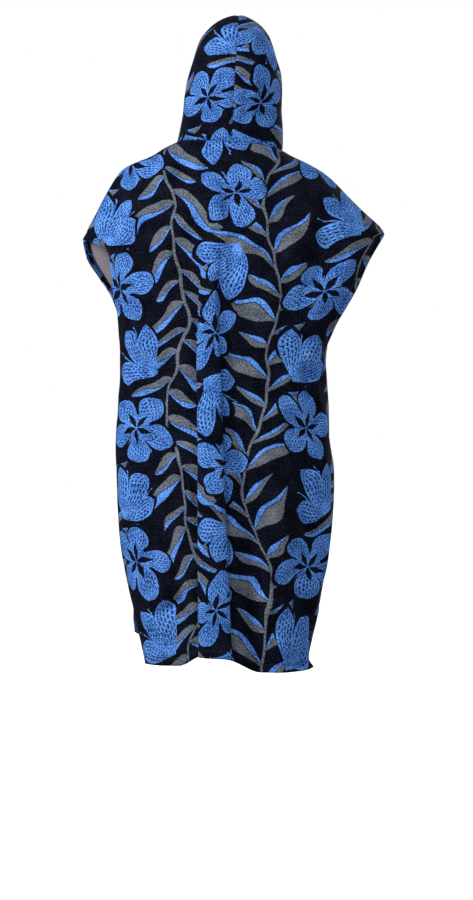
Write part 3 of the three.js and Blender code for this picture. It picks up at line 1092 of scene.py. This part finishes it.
def repeated(n, cloth, place):
    """Coordinates from the nearest copy of a place in the half-drop repeat."""
    x, y = n.split(cloth)
    x = n.sub(x, place[0])
    y = n.sub(y, place[1])
    near_x = n.wrap(x, REPEAT_WIDTH / 2)
    drop = n.mul(n.sub(x, near_x), REPEAT_HEIGHT / 2 / REPEAT_WIDTH)
    near_y = n.wrap(n.sub(y, drop), REPEAT_HEIGHT / 2)
    return n.join(near_x, near_y)


def vine(n, cloth, inks, design):
    """A winding stem from top to bottom, with two-tone leaves on both sides."""
    blue, grey = inks
    leaf, count = design["leaf"], design["count"]
    period = REPEAT_HEIGHT / count
    wave = 2 * math.pi / REPEAT_HEIGHT
    across_print, down = n.split(repeated(n, cloth, (design["x"], 0.0)))
    sway = n.mul(n.sin(n.mul_add(down, wave, design["turn"])), design["sway"])
    sway = n.mul_add(n.sin(n.mul_add(down, 2 * wave, design["seed"])), design["sway"] * 0.4, sway)
    aside = n.sub(across_print, sway)
    side = n.math("SIGN", aside)
    rise = n.abs(aside)
    stem = n.inside(n.sub(rise, 0.0026), SOFT)
    slope = n.mul_add(n.sin(n.mul_add(down, wave, design["seed"])), 0.22, design["slope"])
    slanted = n.mul_add(rise, slope, down)
    slanted = n.mul_add(side, period / 4, slanted)
    off = n.wrap(slanted, period / 2)
    root = n.sub(slanted, off)
    vary = n.sin(n.mul_add(root, 5 * wave, n.mul_add(side, 2.0, design["seed"])))
    reach = n.mul_add(vary, leaf * 0.20, leaf * 0.84)
    along = n.div(rise, reach)
    swing = n.mul(n.sin(n.mul(along, 2 * math.pi)), n.mul_add(vary, 0.02, 0.045))
    hump = n.mul(n.mul(along, n.sub(1.0, along)), n.mul(side, 0.12))
    across = n.add(n.div(off, reach), n.add(swing, hump))
    half = n.curve(along, LEAF)
    soft = SOFT / leaf
    shape = n.inside(n.sub(n.abs(across), half), soft)
    lit_side = math.copysign(1.0, design["slope"])
    border = n.mul(half, n.mul_add(n.sin(n.mul_add(along, 6.5, vary)), 0.34, -0.26 * lit_side))
    parting = n.sub(across, border)
    lit = n.inside(n.mul(parting, lit_side), soft)
    groove = n.sub(1.0, n.inside(n.sub(n.abs(parting), 0.008), soft))
    body = n.mul(shape, groove)
    grey = n.most(grey, n.most(stem, n.mul(body, n.sub(1.0, lit))))
    blue = n.most(blue, n.mul(body, lit))
    return blue, grey


def dashes(n, along, share, rows, seed):
    """Rows of short strokes that follow the sides of a petal, 1 on a stroke. along is in strokes."""
    node = n.new("ShaderNodeTexBrick")
    node.offset = 0.5
    n.put(node.inputs["Vector"], n.join(n.add(along, seed), n.mul_add(share, rows, 20.5)))
    for key, value in DASH.items():
        node.inputs[key].default_value = value
    return n.sub(1.0, node.outputs["Fac"])


def blossom(n, cloth, inks, design):
    """A flower with petals in dashes, thin stamens, and a dark star in an open throat. One seen
    from the side shows only the petals near its own direction, which join into a funnel."""
    blue, grey = inks
    size, petals, shown = design["size"], design["petals"], design["shown"]
    side_view = shown < petals
    curve = LONG_PETAL if side_view else PETAL
    sector = 2 * math.pi / petals
    x, y = n.split(n.placed(repeated(n, cloth, design["place"]), (0, 0), design["turn"]))
    if side_view:
        x = n.add(x, size * 0.5)
    y = n.mul(y, 1 / design["squash"])
    angle = n.math("ARCTAN2", y, x)
    local = n.wrap(angle, sector / 2)
    number = n.sub(angle, local)
    vary = n.sin(n.mul_add(number, 2.7, design["seed"]))
    away = n.div(n.vector("LENGTH", n.join(x, y)), n.mul_add(vary, size * 0.10, size * 0.92))
    leaning = n.mul_add(n.mul(away, 0.10), vary, local)
    along = n.mul(away, n.math("COSINE", leaning))
    across = n.mul(away, n.sin(leaning))
    half = n.mul(n.curve(along, curve), n.mul_add(vary, -0.10, 1.0))
    spread = n.abs(across)
    soft = SOFT / size
    petal_off = n.sub(spread, half)
    halo_off = n.sub(n.sub(spread, n.curve(n.mul(along, 0.94), curve)), 0.05)
    if side_view:
        unseen = n.sub(n.abs(number), sector * (shown / 2 - 0.25))
        petal_off, halo_off = n.most(petal_off, unseen), n.most(halo_off, unseen)
    petal, halo = n.inside(petal_off, soft), n.inside(halo_off, soft)
    share = n.div(across, n.most(half, 0.03))
    rows = 3.0 if side_view else 4.5
    strokes = dashes(n, n.mul(along, size / STROKE), share, rows, design["seed"])
    strokes = n.mul(strokes, n.inside(n.sub(n.abs(share), 0.88), 0.04))
    strokes = n.mul(strokes, n.inside(n.sub(0.20, along), 0.02))
    between = n.wrap(n.add(angle, sector / 2), sector / 2)
    reach = 0.86 if side_view else 0.34
    thread_off = n.abs(n.mul(away, n.sin(between)))
    thread = n.inside(n.most(n.sub(thread_off, 0.010), n.sub(away, reach)), soft)
    tip = n.vector("LENGTH", n.join(thread_off, n.sub(away, reach + 0.02)))
    thread = n.most(thread, n.inside(n.sub(tip, 0.026), soft))
    if side_view:
        thread = n.mul(thread, n.inside(n.sub(n.abs(angle), sector * shown / 2 - 0.2), 0.05))
    filled = n.mul(petal, n.sub(1.0, n.mul(strokes, 0.92)))
    keep = n.sub(1.0, halo)
    if not side_view:
        star = n.inside(n.sub(spread, n.mul_add(n.abs(n.sub(along, 0.22)), -0.30, 0.085)), soft)
        filled = n.mul(filled, n.sub(1.0, star))
        keep = n.mul(keep, n.sub(1.0, n.inside(n.sub(away, 0.30), soft)))
    filled = n.most(filled, thread)
    return n.most(n.mul(blue, keep), filled), n.mul(grey, keep)


def stitch_rows(n):
    """1 along each row of stitches, where the pile is pressed in. The print is also darkened along these
    rows as painted shade in the grooves.
    """
    edge = n.attribute("edge")
    offs = [n.abs(n.sub(edge, row * MM)) for row in STITCH["rows"]]
    return n.most(*[n.inside(n.sub(off, 0.0004), 0.0005) for off in offs])


def print_colour(n, shift=(0.0, 0.0, 0.0)):
    """The printed face of the cloth: blue and grey flowers and leaves on black, darkened along the rows
    of stitches as painted shade in their grooves.
    """
    cloth = n.vector("ADD", n.uv(), shift)
    wobble = n.vector("SUBTRACT", n.noise(cloth, 17.0, 0.0, color=True), (0.5, 0.5, 0.5))
    rough = n.vector("SUBTRACT", n.noise(cloth, 240.0, 0.0, color=True), (0.5, 0.5, 0.5))
    moved = n.vector("MULTIPLY_ADD", wobble, (0.027, 0.027, 0), cloth)
    moved = n.vector("MULTIPLY_ADD", rough, (0.0014, 0.0014, 0), moved)
    inks = (n.mul(0.0, 0.0), n.mul(0.0, 0.0))
    for design in VINES:
        inks = vine(n, moved, inks, design)
    for design in BLOSSOMS:
        inks = blossom(n, moved, inks, design)
    blue, grey = inks
    pile = n.noise(cloth, 310.0, 3.0, 0.75)
    patches = n.noise(cloth, 30.0, 3.0, 0.6)
    fleck = n.math("MULTIPLY_ADD", n.sub(pile, 0.5), 4.4, 0.5, clamp=True)
    fleck = n.math("MULTIPLY_ADD", n.sub(patches, 0.5), 1.3, fleck, clamp=True)
    ground = n.mix(n.mul(fleck, fleck), BLACK, BLACK_PILE)
    grey_cloth = n.mix(fleck, GREY, GREY_LIGHT)
    blue_cloth = n.mix(fleck, BLUE_DEEP, BLUE_LIGHT)
    shown = n.mix(grey, ground, grey_cloth)
    shown = n.mix(blue, shown, blue_cloth)
    # Painted shade: the colour is drawn towards black along the rows of stitches, as the shade in their
    # pressed grooves.
    return n.mix(n.mul(stitch_rows(n), 0.4), shown, BLACK), cloth


def pile_bump(n, cloth, strength):
    """The grain of the sheared pile, with the rows of stitches pressed in."""
    fine = n.noise(cloth, 800.0, 2.0, 0.6)
    coarse = n.noise(cloth, 150.0, 2.0)
    height = n.mul_add(stitch_rows(n), -1.6, n.mul_add(coarse, 1.4, fine))
    return n.bump(height, strength, 0.0014)


def set_cloth(shader):
    """The dull surface that both sides of the cloth share."""
    shader.inputs["Roughness"].default_value = 0.92
    shader.inputs["Specular IOR Level"].default_value = 0.02
    shader.inputs["Sheen Weight"].default_value = 0.02
    shader.inputs["Sheen Roughness"].default_value = 0.45
    shader.inputs["Sheen Tint"].default_value = (0.75, 0.82, 1.0, 1)


def printed_velour():
    """The sheared outside, with the print."""
    n = Nodes("printed_velour")
    shown, cloth = print_colour(n)
    n.put(n.shader.inputs["Base Color"], shown)
    n.put(n.shader.inputs["Normal"], pile_bump(n, cloth, 0.7))
    set_cloth(n.shader)
    return n.material


def looped_inside():
    """Pale loops, with the printed face on the hem that is turned in."""
    n = Nodes("looped_inside")
    shown, cloth = print_colour(n, (0.055, 0.02, 0.0))
    loops = n.new("ShaderNodeTexVoronoi")
    loops.inputs["Scale"].default_value = 520.0
    n.put(loops.inputs["Vector"], cloth)
    tuft = loops.outputs["Distance"]
    inside = n.mix(tuft, LOOPS, LOOPS_DEEP)
    band = n.inside(n.sub(n.attribute("edge"), TURNED_HEM * MM), 0.0006)
    n.put(n.shader.inputs["Base Color"], n.mix(band, inside, shown))
    n.put(n.shader.inputs["Normal"], n.bump(tuft, 0.6, 0.0012))
    set_cloth(n.shader)
    return n.material


def sewing_thread():
    """Dark blue thread with a slight twist of shade."""
    n = Nodes("sewing_thread")
    where = n.new("ShaderNodeTexCoord").outputs["Object"]
    shade = n.noise(where, 900.0, 1.0)
    n.put(n.shader.inputs["Base Color"], n.mix(shade, colour(12, 14, 26), colour(44, 50, 74)))
    n.put(n.shader.inputs["Normal"], n.bump(shade, 0.4, 0.0003))
    n.shader.inputs["Roughness"].default_value = 0.6
    return n.material


make_camera()
velour = printed_velour()
inside = looped_inside()
thread = sewing_thread()

back = body_panel("back", BACK_COLUMNS, (velour, inside))
front = body_panel("front", FRONT_COLUMNS, (velour, inside))
hood_left = hood_half("left", (velour, inside))
hood_right = hood_half("right", (velour, inside))
STANDS_FOR = {
    "back_panel": back,
    "front_panel": front,
    "hood_left": hood_left,
    "hood_right": hood_right,
}
for node, (cloth, stitches) in STANDS_FOR.items():
    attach(cloth, "root")
    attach(stitches, "root")
    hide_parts(node)

make_stage()
